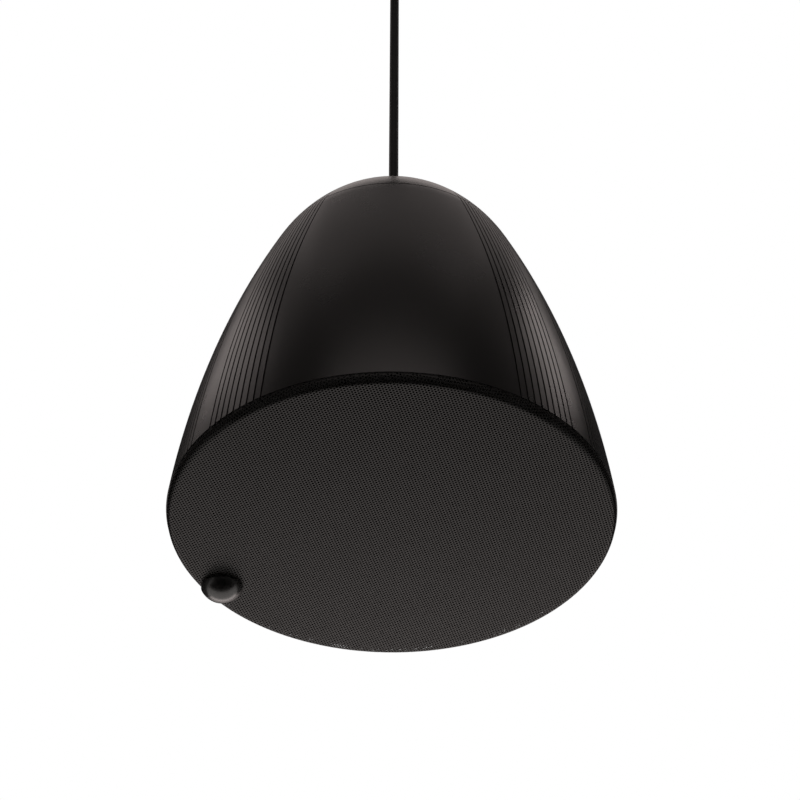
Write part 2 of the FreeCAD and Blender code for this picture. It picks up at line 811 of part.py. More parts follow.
def make_ceiling_fitting():
    """Plate with two screw holes and a threaded boss, and the grip that holds the cable's top end."""
    screw_in = "ceiling_boss_z + grip_depth"
    plate = turned("plate", [
        ("cable_r + cable_clear", screw_in), ("gland_r", screw_in), ("gland_r", "ceiling_boss_z"),
        ("ceiling_boss_r", "ceiling_boss_z"),
        ("ceiling_boss_r + ceiling_boss_draft", "ceiling_plate_z - ceiling_boss_foot_rise"),
        ("ceiling_boss_r + ceiling_boss_foot", "ceiling_plate_z"),
        ("ceiling_plate_r", "ceiling_plate_z + ceiling_plate_edge"),
        ("ceiling_plate_r", "hang_height"), ("cable_r + cable_clear", "hang_height")])
    holes = [rod("plate_hole", "ceiling_screw_r", *through("ceiling_plate_z", "hang_height"), x)
             for x in ("ceiling_screw_span", "-ceiling_screw_span")]
    piece("ceiling_plate", cut_from("ceiling_plate", plate, holes))
    stem = "gland_r - thread_clear"
    bore = "cable_r + cable_clear"
    piece("ceiling_grip", turned("ceiling_grip", [
        (bore, "grip_z"), ("grip_nose_r", "grip_z"), ("grip_taper_r", "grip_z + grip_taper_length"),
        ("grip_r", "ceiling_boss_z - grip_collar"), ("grip_r", "ceiling_boss_z"),
        (stem, "ceiling_boss_z"), (stem, screw_in), (bore, screw_in)]))


def make_grille():
    """Pressed perforated dish, its foam liner, the four magnets that hold it, and the round badge."""
    inner_fold = "grille_fold_r - grille_thick"
    dish = turned("dish", [
        ("0", "0"),
        ("fold_axis_r", "0", "grille_fold_r", COUNTER_CLOCKWISE),
        ("grille_r", "grille_fold_r"),
        ("grille_r", "grille_top"),
        ("grille_r - grille_thick", "grille_top"),
        ("grille_r - grille_thick", "grille_fold_r", inner_fold, CLOCKWISE),
        ("fold_axis_r", "grille_thick"),
        ("0", "grille_thick")])
    pin_r = "badge_pin_r + badge_pin_clear"
    pin_hole = rod("pin_hole", pin_r, *through("0", "grille_thick"), "badge_x", "badge_y")
    piece("grille", cut_from("grille", dish, [pin_hole]))
    piece("grille_liner", disc("grille_liner", "liner_r", "grille_thick", "liner_top"))
    disc_top = "magnet_post_low + magnet_disc_thick"
    magnets = [disc("magnet_disc", "magnet_disc_r", "magnet_post_low", disc_top, x, y)
               for x, y in around(GRILLE_MAGNETS, "magnet_turn", "magnet_circle_r")]
    piece("grille_magnets", group("grille_magnets", magnets))

    dome_arc = "(badge_r ^ 2 + badge_rise ^ 2) / (2 * badge_rise)"
    clip_top = "grille_thick + clip_thick"
    piece("badge", turned("badge", [
        ("0", "-(badge_edge + badge_rise)", dome_arc, COUNTER_CLOCKWISE),
        ("badge_r", "-badge_edge"), ("badge_r", "0"), ("badge_pin_r", "0"),
        ("badge_pin_r", f"{clip_top} + clip_spare"), ("0", f"{clip_top} + clip_spare")],
        "badge_x", "badge_y"))
    piece("badge_clip", ring("badge_clip", "badge_pin_r + thread_clear", "clip_r",
                             "grille_thick", clip_top, "badge_x", "badge_y"))


def make_baffle():
    """Plate that carries the drivers, port, selector, crossover and transformer."""
    plate = ring("baffle_plate", "driver_cut_r", "baffle_r", "baffle_low", "baffle_top")
    posts = [rod("magnet_post", "magnet_post_r", "magnet_post_low", "baffle_low + overrun", x, y)
             for x, y in around(GRILLE_MAGNETS, "magnet_turn", "magnet_circle_r")]
    standoffs = [rod("standoff", "standoff_r", "baffle_top - overrun", "board_low", x, y)
                 for x, y in board_corners()]
    solid = joined("baffle_blank", [plate, *posts, *standoffs])
    top = "magnet_post_low + magnet_disc_thick + thread_clear"
    tools = [rod("magnet_pocket", "magnet_disc_r + bore_clear", "magnet_post_low - overrun", top, x, y)
             for x, y in around(GRILLE_MAGNETS, "magnet_turn", "magnet_circle_r")]
    tools += [rod("screw_hole", "screw_r + bore_clear", *through("baffle_low", "baffle_top"), x, y)
              for x, y in around(BAFFLE_SCREWS, "0", "baffle_screw_r")]
    tools += [rod("driver_pilot", "screw_r + thread_clear", *through("baffle_low", "baffle_top"), x, y)
              for x, y in around(DRIVER_SCREWS, "driver_screw_turn", "driver_screw_r")]
    tools += [rod("strap_pilot", "screw_r + thread_clear", *through("baffle_low", "baffle_top"), x, "core_y")
              for x in ("strap_screw_x", "-strap_screw_x")]
    tools += [rod("standoff_pilot", "screw_r + thread_clear", *through("baffle_low", "board_low"), x, y)
              for x, y in board_corners()]
    plate_span = through("baffle_low", "baffle_top")
    tools.append(rod("port_hole", "port_r + port_wall + bore_clear", *plate_span, "0", "port_y"))
    tools.append(rod("tap_hole", "tap_bush_r + bore_clear", *plate_span, "tap_x", "0"))
    piece("baffle", cut_from("baffle", solid, tools))
    gasket = ring("gasket", "ledge_in_r", "baffle_r", "baffle_top", "ledge_low")
    holes = [rod("gasket_hole", "screw_r + bore_clear", *through("baffle_top", "ledge_low"), x, y)
             for x, y in around(BAFFLE_SCREWS, "0", "baffle_screw_r")]
    piece("baffle_gasket", cut_from("baffle_gasket", gasket, holes))
    screw_ring("baffle_screws", BAFFLE_SCREWS, "0", "baffle_screw_r", "baffle_low", "baffle_screw_length")


def make_port():
    """Reflex port: a tube with a flared mouth on the baffle and a flared inner end."""
    outer = "port_r + port_wall"
    flange_low = "baffle_low - port_flange_thick"
    end = "baffle_low + port_length"
    piece("port_tube", turned("port_tube", [
        ("port_r", f"{flange_low} + port_flare", "port_flare", COUNTER_CLOCKWISE),
        ("port_r + port_flare", flange_low),
        ("port_r + port_flare + port_flange_lip", flange_low),
        ("port_r + port_flare + port_flange_lip", "baffle_low"),
        (outer, "baffle_low"),
        (outer, f"{end} - port_flare"),
        (f"{outer} + port_end_lip", f"{end} - port_end_edge"),
        (f"{outer} + port_end_lip", end),
        ("port_r + port_end_flare", end),
        ("port_r", f"{end} - port_flare"),
    ], "0", "port_y"))


def make_driver_frame():
    """Woofer basket with its windows, gasket, screws and magnet system."""
    wall = "basket_wall"
    seat = "spider_seat_z"
    neck_in = f"basket_neck_r - {wall}"
    frame = turned("basket", [
        ("driver_r", "driver_low"), ("driver_r", "driver_flange_top"),
        ("basket_mouth_r", "driver_flange_top"), ("basket_mouth_r", "baffle_top + basket_rim"),
        ("spider_seat_r", seat), ("spider_seat_r", f"{seat} + {wall}"),
        ("basket_neck_r", f"{seat} + {wall}"), ("basket_neck_r", "basket_z"),
        ("basket_neck_r - basket_foot", "basket_z"), ("basket_neck_r - basket_foot", f"basket_z - {wall}"),
        (neck_in, f"basket_z - {wall}"), (neck_in, seat),
        (f"spider_seat_r - {wall} - basket_slant_wall", seat),
        (f"basket_mouth_r - {wall}", "baffle_top + basket_rim_inside"),
        (f"basket_mouth_r - {wall}", "driver_low")])
    window_r = "(spider_seat_r - window_inset)"
    windows = []
    for index in range(BASKET_WINDOWS):
        turn = index * FULL_TURN / BASKET_WINDOWS
        window = block("window", (window_r, "driver_r"), ("-basket_window / 2", "basket_window / 2"),
                       ("baffle_top + window_low", f"{seat} - window_drop"))
        bind(window, "Placement.Base.x", f"{window_r} * cos({turn}) + basket_window / 2 * sin({turn})")
        bind(window, "Placement.Base.y", f"{window_r} * sin({turn}) - basket_window / 2 * cos({turn})")
        bind(window, "Placement.Rotation.Angle", str(turn))
        windows.append(window)
    holes = [rod("flange_hole", "screw_r + bore_clear", *through("driver_low", "driver_flange_top"), x, y)
             for x, y in around(DRIVER_SCREWS, "driver_screw_turn", "driver_screw_r")]
    piece("driver_basket", cut_from("driver_basket", frame, windows + holes))
    gasket = ring("driver_seal", "driver_cut_r", "driver_r", "driver_flange_top", "baffle_low")
    holes = [rod("seal_hole", "screw_r + bore_clear", *through("driver_flange_top", "baffle_low"), x, y)
             for x, y in around(DRIVER_SCREWS, "driver_screw_turn", "driver_screw_r")]
    piece("driver_gasket", cut_from("driver_gasket", gasket, holes))
    screw_ring("driver_screws", DRIVER_SCREWS, "driver_screw_turn", "driver_screw_r", "driver_low",
               "driver_flange_thick + driver_gasket_thick + baffle_thick")

    piece("top_plate", ring("top_plate", "top_plate_bore_r", "top_plate_r", "basket_z", "top_plate_top"))
    piece("ferrite_ring", ring("ferrite_ring", "ferrite_bore_r", "ferrite_r", "top_plate_top", "ferrite_top"))
    bore = "stem_r + bore_clear"
    piece("yoke", turned("yoke", [
        (bore, "basket_z"), ("pole_r", "basket_z"), ("pole_r", "ferrite_top"), ("top_plate_r", "ferrite_top"),
        ("top_plate_r", "yoke_top"), (bore, "yoke_top")]))


def make_moving_parts():
    """Voice coil, cone, and the two suspensions that flex with them."""
    winding_high = "winding_low + winding_length"
    neck_r = "former_out_r + glue_gap"
    former_high = winding_high + " + former_tail"
    piece("coil_former", ring("coil_former", "former_r", "former_out_r", "former_low", former_high))
    piece("coil_winding", ring("coil_winding", "former_out_r", "winding_r", "winding_low", winding_high))
    piece("cone", turned("cone", [
        ("cone_edge_r", "cone_edge_z"),
        ("cone_edge_r", "cone_edge_z + cone_thick"),
        ("cone_edge_r - land_width", "cone_edge_z + cone_thick"),
        (neck_r, "former_low + cone_thick + cone_neck"),
        (neck_r, "former_low"),
        ("cone_edge_r - land_width", "cone_edge_z"),
    ]))

    film = "surround_thick"
    inner_foot = "cone_edge_r"
    outer_foot = "cone_edge_r + surround_span"
    piece("surround", turned("surround", [
        ("cone_edge_r - land_width", "surround_low"),
        (inner_foot, "surround_low", "surround_roll_r", COUNTER_CLOCKWISE),
        (outer_foot, "surround_low"),
        ("surround_edge_r", "surround_low"),
        ("surround_edge_r", "cone_edge_z"),
        (f"{outer_foot} - {film}", "cone_edge_z"),
        (f"{outer_foot} - {film}", "surround_low", f"surround_roll_r - {film}", CLOCKWISE),
        (f"{inner_foot} + {film}", "surround_low"),
        (f"{inner_foot} + {film}", "cone_edge_z"),
        ("cone_edge_r - land_width", "cone_edge_z")]))

    waves = int(value("spider_waves"))
    outer_r = "(spider_seat_r - basket_wall - spider_clear)"
    inner_r = f"({neck_r})"
    wave_low = f"({inner_r} + spider_inner_flat)"
    wave_high = f"({outer_r} - spider_outer_flat)"
    top = "spider_seat_z"
    steps = 2 * waves
    lower = []
    upper = []
    for step in range(steps + 1):
        share = f"{wave_low} + ({wave_high} - {wave_low}) * {step} / {steps}"
        dip = "spider_wave" if step % 2 else "0"
        lower.append((share, f"{top} - spider_thick - {dip}"))
        upper.append((share, f"{top} - {dip}"))
    corners = [(inner_r, f"{top} - spider_thick"), *lower, (outer_r, f"{top} - spider_thick"),
               (outer_r, top), *reversed(upper), (inner_r, top)]
    piece("spider", turned("spider", corners))


def make_tweeter():
    """Coaxial tweeter on a stem through the pole, held by a nut behind the yoke."""
    wall = "tweeter_wall"
    nut_top = "yoke_top + stem_nut_thick"
    piece("tweeter_stem", disc("tweeter_stem", "stem_r", "tweeter_top", nut_top + " + stem_end"))
    nut = prism("stem_nut", "stem_nut_r", "yoke_top", nut_top)
    bore = rod("stem_nut_bore", "stem_r + thread_clear", *through("yoke_top", nut_top))
    piece("tweeter_nut", cut_from("tweeter_nut", nut, [bore]))
    piece("tweeter_housing", turned("tweeter_housing", [
        (f"tweeter_r - {wall}", "tweeter_low"), ("tweeter_r", "tweeter_low"),
        ("tweeter_r", "tweeter_top - tweeter_edge"), ("tweeter_r - tweeter_edge", "tweeter_top"),
        ("0", "tweeter_top"),
        ("0", f"tweeter_top - {wall}"), (f"tweeter_r - {wall}", f"tweeter_top - {wall}")]))
    piece("tweeter_magnet", disc("tweeter_magnet", "tweeter_magnet_r",
                                 f"tweeter_top - {wall} - tweeter_magnet_thick", f"tweeter_top - {wall}"))
    face_low = "tweeter_low - tweeter_ring_thick"
    piece("tweeter_ring", turned("tweeter_ring", [
        ("tweeter_dome_r + tweeter_mouth", "tweeter_low"),
        ("tweeter_dome_r + tweeter_mouth + tweeter_flare", face_low),
        ("tweeter_r", f"{face_low} + tweeter_ring_edge"), ("tweeter_r", "tweeter_low")]))
    rise = "tweeter_dome_rise"
    film = "tweeter_film"
    front_arc = f"(tweeter_dome_r ^ 2 + {rise} ^ 2) / (2 * {rise})"
    back_r = f"tweeter_dome_r - {film}"
    back_arc = f"(({back_r}) ^ 2 + {rise} ^ 2) / (2 * {rise})"
    back = f"tweeter_low + {film}"
    piece("tweeter_dome", turned("tweeter_dome", [
        ("0", f"tweeter_low - {rise}", front_arc, COUNTER_CLOCKWISE),
        ("tweeter_dome_r", "tweeter_low"),
        (f"tweeter_r - {wall} - bore_clear", "tweeter_low"),
        (f"tweeter_r - {wall} - bore_clear", back),
        (back_r, back, back_arc, CLOCKWISE),
        ("0", f"{back} - {rise}")]))


def make_tap_selector():
    """Rotary power-tap switch behind the grille: body, bush nut and the knob with its shaft."""
    half = "tap_body / 2"
    body_top = "baffle_top + tap_body_height"
    sides = (f"tap_x - {half}", f"tap_x + {half}")
    base = block("tap_block", sides, (f"-{half}", half), ("baffle_top", body_top))
    bush = rod("tap_bush", "tap_bush_r", "tap_bush_low", "baffle_top + overrun", "tap_x")
    shaft_top = "baffle_top + tap_body_height / 2"
    bore = rod("tap_bore", "tap_shaft_r + tap_shaft_clear", "tap_bush_low - overrun",
               f"{shaft_top} + tap_knob_gap", "tap_x")
    piece("tap_switch", cut_from("tap_switch", joined("tap_blank", [base, bush]), [bore]))
    nut_low = "baffle_low - tap_nut_thick"
    nut_bore = "tap_bush_r + thread_clear"
    piece("tap_nut", ring("tap_nut", nut_bore, "tap_nut_r", nut_low, "baffle_low", "tap_x"))
    knob_low = "tap_knob_top - tap_knob_height"
    knob = turned("tap_knob_blank", [
        ("0", knob_low), ("tap_knob_r - tap_knob_edge", knob_low),
        ("tap_knob_r", f"{knob_low} + tap_knob_edge"),
        ("tap_knob_r", "tap_knob_top"), ("tap_shaft_r", "tap_knob_top"), ("tap_shaft_r", shaft_top),
        ("0", shaft_top)], "tap_x")
    slot = block("tap_slot", ("tap_x", "tap_x + tap_knob_r + overrun"),
                 ("-tap_pointer / 2", "tap_pointer / 2"),
                 (f"{knob_low} - overrun", f"{knob_low} + tap_pointer_depth"))
    piece("tap_knob", cut_from("tap_knob", knob, [slot]))


def board_corners():
    """Places of the crossover board's four screws."""
    half_x = "(board_length / 2 - board_hole_inset)"
    half_y = "(board_width / 2 - board_hole_inset)"
    for side_x in ("-", "+"):
        for side_y in ("-", ""):
            yield f"board_x {side_x} {half_x}", f"{side_y}{half_y}"


def make_crossover():
    """Filter board on four standoffs, with its inductor, capacitors and resistor."""
    span_x = ("board_x - board_length / 2", "board_x + board_length / 2")
    board = block("board", span_x, ("-board_width / 2", "board_width / 2"), ("board_low", "board_top"))
    holes = [rod("board_hole", "screw_r + bore_clear", *through("board_low", "board_top"), x, y)
             for x, y in board_corners()]
    piece("crossover_board", cut_from("crossover_board", board, holes))
    screws = [screw("crossover_screw", x, y, "board_top", "board_screw_length") for x, y in board_corners()]
    piece("crossover_screws", group("crossover_screws", screws))
    coil_top = "board_top + coil_height"
    piece("crossover_inductor", turned("crossover_inductor", [
        ("coil_core_r", "board_top"), ("coil_r", "board_top"), ("coil_r", "board_top + coil_flange"),
        ("coil_r - coil_waist", "board_top + coil_flange"),
        ("coil_r - coil_waist", f"{coil_top} - coil_flange"),
        ("coil_r", f"{coil_top} - coil_flange"), ("coil_r", coil_top), ("coil_core_r", coil_top)],
        "board_x - coil_shift", "0"))
    capacitors = []
    for side in ("-1", "1"):
        x = "board_x + capacitor_shift"
        y = f"({side}) * (board_width / 2 - capacitor_r - board_edge)"
        can = disc("capacitor", "capacitor_r", "board_top", "board_top + capacitor_length", x, y)
        capacitors.append(can)
    piece("crossover_capacitors", group("crossover_capacitors", capacitors))
    resistor_high = "board_x + board_length / 2 - board_edge"
    resistor = block("resistor", (f"{resistor_high} - resistor_size", resistor_high),
                     ("-resistor_length / 2", "resistor_length / 2"),
                     ("board_top", "board_top + resistor_size"))
    piece("crossover_resistor", group("crossover_resistor", [resistor]))


def make_transformer():
    """Line transformer: laminated core, winding through its windows, and the strap that holds it."""
    y_low = "core_y - core_depth / 2"
    y_high = "core_y + core_depth / 2"
    core = block("core", ("-core_width / 2", "core_width / 2"), (y_low, y_high), ("core_low", "core_top"))
    window_low = "core_low + (core_height - core_window_height) / 2"
    window_top = f"{window_low} + core_window_height"
    leg = "core_leg / 2"
    windows = [block("core_window", span, through(y_low, y_high), (window_low, window_top))
               for span in ((f"-({leg} + core_window)", f"-{leg}"), (leg, f"{leg} + core_window"))]
    piece("transformer_core", cut_from("transformer_core", core, windows))
    half = f"({leg} + core_window - winding_fit)"
    coil = block("coil_block", (f"-{half}", half), ("core_y - coil_depth / 2", "core_y + coil_depth / 2"),
                 (f"{window_low} + winding_fit", f"{window_top} - winding_fit"))
    leg_hole = block("leg_hole", (f"-({leg} + winding_fit)", f"{leg} + winding_fit"),
                     (f"{y_low} - winding_fit", f"{y_high} + winding_fit"), (window_low, window_top))
    piece("transformer_coil", cut_from("transformer_coil", coil, [leg_hole]))

    inner = "core_width / 2 + plug_fit"
    outer = f"({inner} + strap_thick)"
    foot = f"({outer} + strap_foot)"
    strap_top = "core_top + strap_thick"
    foot_top = "baffle_top + strap_thick"
    body = new_body("transformer_strap")
    sketch = new_sketch(body, "XZ_Plane")
    outline(sketch, [
        (f"-{foot}", "baffle_top"), (f"-({inner})", "baffle_top"), (f"-({inner})", "core_top"),
        (inner, "core_top"), (inner, "baffle_top"), (foot, "baffle_top"), (foot, foot_top),
        (outer, foot_top), (outer, strap_top), (f"-{outer}", strap_top), (f"-{outer}", foot_top),
        (f"-{foot}", foot_top)])
    pad = body.newObject("PartDesign::Pad", unique("strap_pad"))
    pad.Profile = sketch
    pad.Midplane = True
    bind(pad, "Length", "core_depth - 2 * strap_inset")
    bind(body, "Placement.Base.y", "core_y")
    holes = [rod("strap_hole", "screw_r + bore_clear", *through("baffle_top", foot_top), x, "core_y")
             for x in ("strap_screw_x", "-strap_screw_x")]
    piece("transformer_strap", cut_from("transformer_strap", body, holes))
    pad_sides = ("core_pad_inset - core_width / 2", "core_width / 2 - core_pad_inset")
    lift = block("core_pad", pad_sides, (y_low, y_high), ("baffle_top", "core_low"))
    piece("transformer_pad", group("transformer_pad", [lift]))
    screws = [screw("strap_screw", x, "core_y", foot_top, "strap_thick + baffle_thick")
              for x in ("strap_screw_x", "-strap_screw_x")]
    piece("transformer_screws", group("transformer_screws", screws))


def make_terminals():
    """Pluggable terminal on the deck, its four clamp screws and the cable's two conductors."""
    half = "header_length / 2"
    wall = "header_wall"
    header = block("header", (f"-{half}", half), ("header_y", "header_y + header_depth"),
                   ("deck_z", "header_top"))
    cavity = block("cavity", (f"-{half} + {wall}", f"{half} - {wall}"),
                   (f"header_y + {wall}", "header_y + header_depth + overrun"),
                   (f"deck_z + {wall}", f"header_top - {wall}"))
    piece("terminal_header", cut_from("terminal_header", header, [cavity]))
    plug_half = f"({half} - {wall} - plug_fit)"
    plug = block("plug", (f"-{plug_half}", plug_half), (f"header_y + {wall} + plug_fit", "plug_y"),
                 ("plug_low", "plug_top"))
    ways = int(value("plug_ways"))
    tools = []
    screws = []
    for index in range(ways):
        x = f"({index} - (plug_ways - 1) / 2) * plug_way_pitch"
        entry = rod("wire_entry", "plug_wire_r", "0", "plug_reach", x, "plug_y + overrun")
        bind(entry, "Placement.Base.z", "plug_middle")
        entry.Placement.Rotation = FreeCAD.Rotation(FreeCAD.Vector(1, 0, 0), QUARTER_TURN)
        tools.append(entry)
        screw_y = "plug_y - plug_reach / 2"
        screw_low = "plug_top - plug_screw_depth"
        screw_top = "plug_top - plug_screw_sink"
        hole_r = "plug_screw_r + thread_clear"
        tools.append(rod("clamp_hole", hole_r, screw_low, "plug_top + overrun", x, screw_y))
        screws.append(disc("clamp_screw", "plug_screw_r", screw_low, screw_top, x, screw_y))
    piece("terminal_plug", cut_from("terminal_plug", plug, tools))
    piece("terminal_screws", group("terminal_screws", screws))
    wires = [conductor(x) for x in ("plug_way_pitch / 2", "-plug_way_pitch / 2")]
    piece("conductors", group("conductors", wires))


def conductor(x):
    """One insulated wire: down from the cable's end, round a bend and into the plug."""
    across = FreeCAD.Vector(0, 1, 0)
    down = FreeCAD.Vector(0, 0, -1)
    bend_axis = FreeCAD.Vector(-1, 0, 0)
    bend_z = "plug_middle + conductor_bend"
    drop = rod("conductor_drop", "conductor_r", bend_z, "tail_low", x)
    bend = doc.addObject("Part::Torus", unique("conductor_turn"))
    bend.Placement.Rotation = FreeCAD.Rotation(across, down, bend_axis, "XYZ")
    bend.Angle3 = QUARTER_TURN
    bind(bend, "Radius1", "conductor_bend")
    bind(bend, "Radius2", "conductor_r")
    run = rod("conductor_run", "conductor_r", "0", "plug_reach - plug_y - conductor_bend - conductor_spare",
              x, "-conductor_bend")
    run.Placement.Rotation = FreeCAD.Rotation(FreeCAD.Vector(1, 0, 0), QUARTER_TURN)
    bind(run, "Placement.Base.z", "plug_middle")
    for axis, text in (("x", x), ("y", "-conductor_bend"), ("z", bend_z)):
        bind(bend, "Placement.Base." + axis, text)
    return joined("conductor", [drop, bend, run])


def make_lining():
    """Fibre lining against the inside of the bell, clear of the drivers."""
    outer = "(bell_wall + lining_clear)"
    inner = f"({outer} + lining_thick)"
    high = "deck_low - lining_clear"
    piece("damping_lining", turned("damping_lining", [
        *along_arc(side_r, "lining_low", high, LINING_STEPS, outer),
        *reversed(along_arc(side_r, "lining_low", high, LINING_STEPS, inner))]))


def check_and_write():
    """Stop on any failed object, then write one STEP file for each sub-part."""
    doc.recompute()
    for thing in doc.Objects:
        if "Invalid" in thing.State or "Error" in thing.State:
            raise RuntimeError(f"{thing.Name} ({thing.Label}) failed: {thing.State}")
    os.makedirs("parts", exist_ok=True)
    for name, thing in pieces.items():
        shape = thing.Shape
        if shape.isNull() or not shape.isValid() or not shape.Solids:
            raise RuntimeError(f"{name} has no valid solid")
        shape.exportStep(f"parts/{name}.step")
        print(f"{name}: {len(shape.Solids)} solids, {shape.Volume:.0f} mm3")


def main():
    fill_sheet()
    make_enclosure()
    make_cap()
    make_suspension()
    make_ceiling_fitting()
    make_grille()
    make_baffle()
    make_port()
    make_driver_frame()
    make_moving_parts()
    make_tweeter()
    make_tap_selector()
    make_crossover()
    make_transformer()
    make_terminals()
    make_lining()
    check_and_write()


main()
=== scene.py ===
import json
import math

import bmesh
import bpy
import numpy as np
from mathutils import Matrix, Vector

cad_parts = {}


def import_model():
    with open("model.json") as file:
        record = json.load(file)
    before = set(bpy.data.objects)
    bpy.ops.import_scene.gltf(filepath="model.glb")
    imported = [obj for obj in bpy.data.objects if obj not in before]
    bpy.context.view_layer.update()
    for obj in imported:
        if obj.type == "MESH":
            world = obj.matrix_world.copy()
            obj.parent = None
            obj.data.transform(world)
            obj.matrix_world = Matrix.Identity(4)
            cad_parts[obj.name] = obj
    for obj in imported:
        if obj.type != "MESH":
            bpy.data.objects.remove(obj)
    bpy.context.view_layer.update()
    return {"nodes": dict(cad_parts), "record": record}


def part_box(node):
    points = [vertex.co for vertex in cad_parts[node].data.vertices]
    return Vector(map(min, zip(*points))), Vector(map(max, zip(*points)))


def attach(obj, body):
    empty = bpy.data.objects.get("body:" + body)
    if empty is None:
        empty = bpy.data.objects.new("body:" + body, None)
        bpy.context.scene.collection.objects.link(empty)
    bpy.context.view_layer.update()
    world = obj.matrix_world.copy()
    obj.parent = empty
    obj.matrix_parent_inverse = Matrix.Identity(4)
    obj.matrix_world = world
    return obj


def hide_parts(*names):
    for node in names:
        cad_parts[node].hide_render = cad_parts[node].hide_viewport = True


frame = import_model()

# Metres, in the row frame: the ceiling is at height 0 and the near side is -Y.
ROOT = "hung_speaker"
FACE_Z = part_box("grille")[0].z
RIM_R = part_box("enclosure")[1].x
GLAND_MOUTH_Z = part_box("gland_nut")[1].z
CABLE_TOP_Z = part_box("cable")[1].z
CABLE_D = 2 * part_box("cable")[1].x
COLLAR_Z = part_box("top_cap")[1].z
FULL_TURN = 2 * math.pi

# Camera, matched to the photograph's outline
LENS_MM = 86.06
SENSOR_MM = 36
SHIFT_X = -0.005
CAMERA_X = 0.0082
CAMERA_Y = -1.0192
CAMERA_DROP = 0.7758
CAMERA_PITCH_DEG = 41.15
CLIP_NEAR = 0.01
CLIP_FAR = 50

# Cable
CABLE_TUCK = 0.004
CABLE_POINTS = 6
CABLE_ROUNDNESS = 6

# Outline of the bell, in heights above the grille's face
RIM_H = 0.0063
RIM_LEAN = math.radians(5.5)
SIDE_ARC_R = 0.794
SIDE_TOP_H = 0.2336
SHOULDER_ARC_R = 0.138
SHOULDER_LEAN = math.radians(43.4)
SEAM_H = 0.2420
SEAM_GAP = 0.0013
ROW_STEP = 0.003

# Walls behind the outline
WALL = 0.003
CAP_WALL = 0.0025
LEDGE_WIDTH = 0.0105
COLLAR_R = 0.014
CAP_BORE_R = 0.0082
BELL_INSIDE_ROWS = 30
CAP_INSIDE_ROWS = 24
MERGE_DISTANCE = 1e-6
SMOOTH_ANGLE = math.radians(35)

# Flutes
FLUTE_DEPTH = 0.0009
FLUTE_WIDTH = math.radians(0.55)
FLUTE_WALL = math.radians(0.06)
FLUTE_PITCH = math.radians(2.13)
FLUTE_COUNT = 9
FLUTE_STARTS = (math.radians(32.4), math.radians(58.1))
FLUTE_END_R = 0.046
FLUTE_FADE = 0.004
PLAIN_STEP = math.radians(1.5)

# Grille
HOLE_PITCH = 0.00221
HOLE_R = 0.00084
HOLE_TURN = math.radians(14.84)
HOLE_SIDES = 6
SHEET = 0.0008
FOLD_R = 0.004
FLAT_R = 0.146
GRILLE_PARTS = 4
NO_DISTANCE = 1e-9

# Studio
SOFT_ROOM = 1.0
DIM_ROOM = 0.02
ROOM_TINT = (1, 0.97, 0.95)
WHITE = (1, 1, 1)
PANEL_TINT = (1, 0.89, 0.86)
PANEL_TARGET = Vector((0, 0, FACE_Z + 0.15))
PANEL_DISTANCE = 2.2
FLAG_HALF = 1.0
FLAG_NEAR = -1.1
FLAG_FAR = 0.1
FLAG_DROP = 0.5
FLOOR_HALF = 4
FLOOR_DROP = 1.7

# Azimuth, elevation, width and height in degrees as the bell sees them, and radiance
PANELS = {
    "overhead": (180, 84, 50, 50, 0.235),
    "crown": (180, 66, 26, 18, 0.5),
    "left_high": (-110, 62, 50, 14, 0.14),
    "right_high": (110, 62, 50, 14, 0.08),
    "left_side": (-107, 50, 32, 12, 0.83),
    "right_side": (111, 50, 20, 12, 1.35),
    "left_back": (-126, 44, 14, 16, 0.2),
    "front": (0, 44, 50, 12, 0.85),
    "low_back": (180, -26, 70, 14, 2.4),
    "far_low": (180, -8, 60, 20, 0.7),
}


def camera():
    data = bpy.data.cameras.new("camera")
    data.lens = LENS_MM
    data.sensor_width = SENSOR_MM
    data.shift_x = SHIFT_X
    data.clip_start = CLIP_NEAR
    data.clip_end = CLIP_FAR
    thing = bpy.data.objects.new("camera", data)
    thing.location = (CAMERA_X, CAMERA_Y, FACE_Z - CAMERA_DROP)
    thing.rotation_euler = (math.radians(90 + CAMERA_PITCH_DEG), 0, 0)
    bpy.context.collection.objects.link(thing)
    bpy.context.scene.camera = thing


def cable():
    """The hanging cable: tight, straight up from inside the gland's mouth to the ceiling.

    The thickness is on the points, under a bevel of 1, so that the curve's own box is true."""
    start = GLAND_MOUTH_Z - CABLE_TUCK
    heights = np.linspace(start, CABLE_TOP_Z, CABLE_POINTS)
    curve = bpy.data.curves.new("cable_run", "CURVE")
    curve.dimensions = "3D"
    curve.bevel_depth = 1
    curve.bevel_resolution = CABLE_ROUNDNESS
    curve.use_fill_caps = True
    spline = curve.splines.new("NURBS")
    spline.points.add(CABLE_POINTS - 1)
    for point, height in zip(spline.points, heights):
        point.co = (0, 0, height, 1)
        point.radius = CABLE_D / 2
    spline.order_u = 3
    spline.use_endpoint_u = True
    thing = bpy.data.objects.new("cable_run", curve)
    bpy.context.collection.objects.link(thing)
    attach(thing, ROOT)
    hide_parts("cable")
    return thing


camera()
CABLE = cable()


